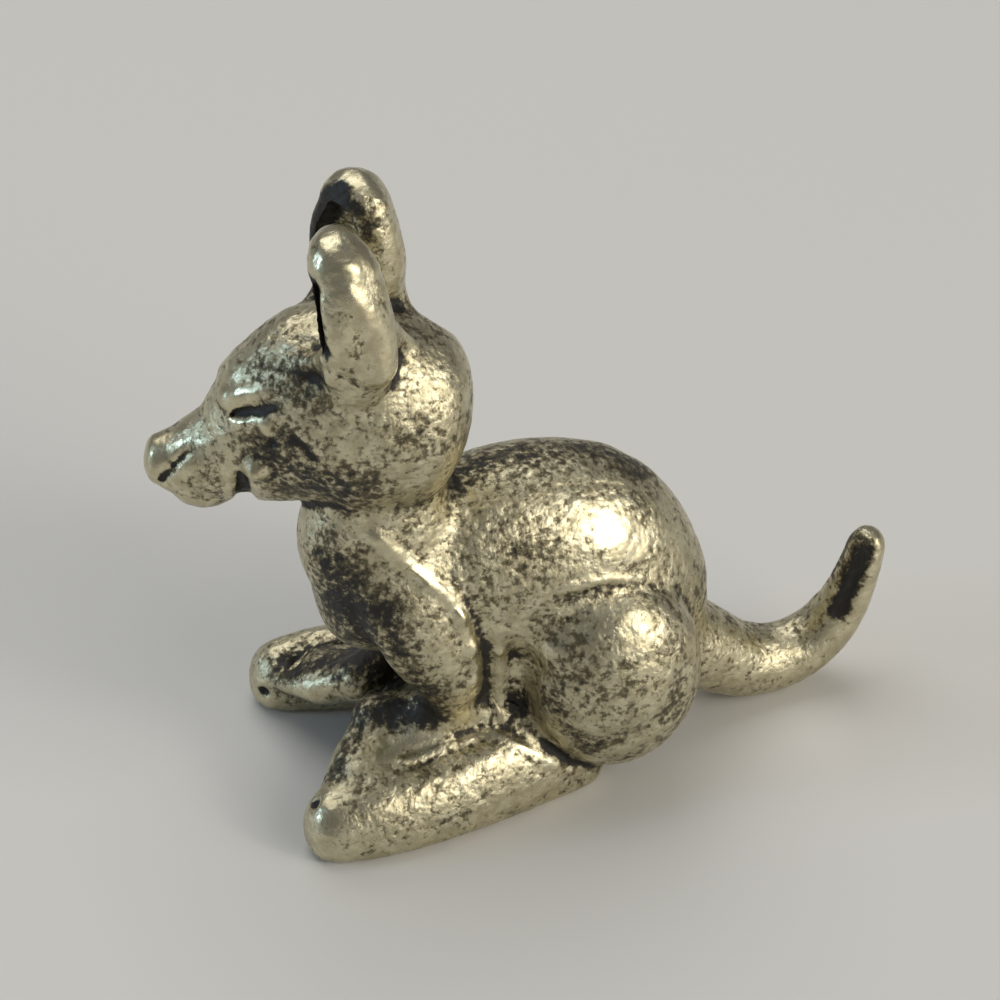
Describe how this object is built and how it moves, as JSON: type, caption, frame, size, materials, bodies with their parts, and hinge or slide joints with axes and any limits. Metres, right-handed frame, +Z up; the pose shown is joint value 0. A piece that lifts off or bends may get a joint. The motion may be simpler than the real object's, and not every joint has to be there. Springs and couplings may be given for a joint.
{
  "type": "kangaroo figurine",
  "caption": "Small crouching kangaroo ornament in antiqued cast white metal, assembled from plug-together castings: body, head, ears, limbs and a curled tail.",
  "frame": {"origin": "middle of the figurine's footprint, on the surface that it stands on", "axes": "the animal looks along -X, its tail is at +X, its left side is -Y, and +Z is up"},
  "size_m": [0.0302, 0.0128, 0.0272],
  "materials": {
    "pewter": "antiqued pewter: worn glossy pale metal on the raised parts, black patina in the creases and casting pits"
  },
  "bodies": {
    "root": {"body": "pewter", "head": "pewter", "left_ear": "pewter", "right_ear": "pewter", "left_foreleg": "pewter", "right_foreleg": "pewter", "left_thigh": "pewter", "right_thigh": "pewter", "left_foot": "pewter", "right_foot": "pewter", "tail": "pewter"}
  },
  "joints": []
}
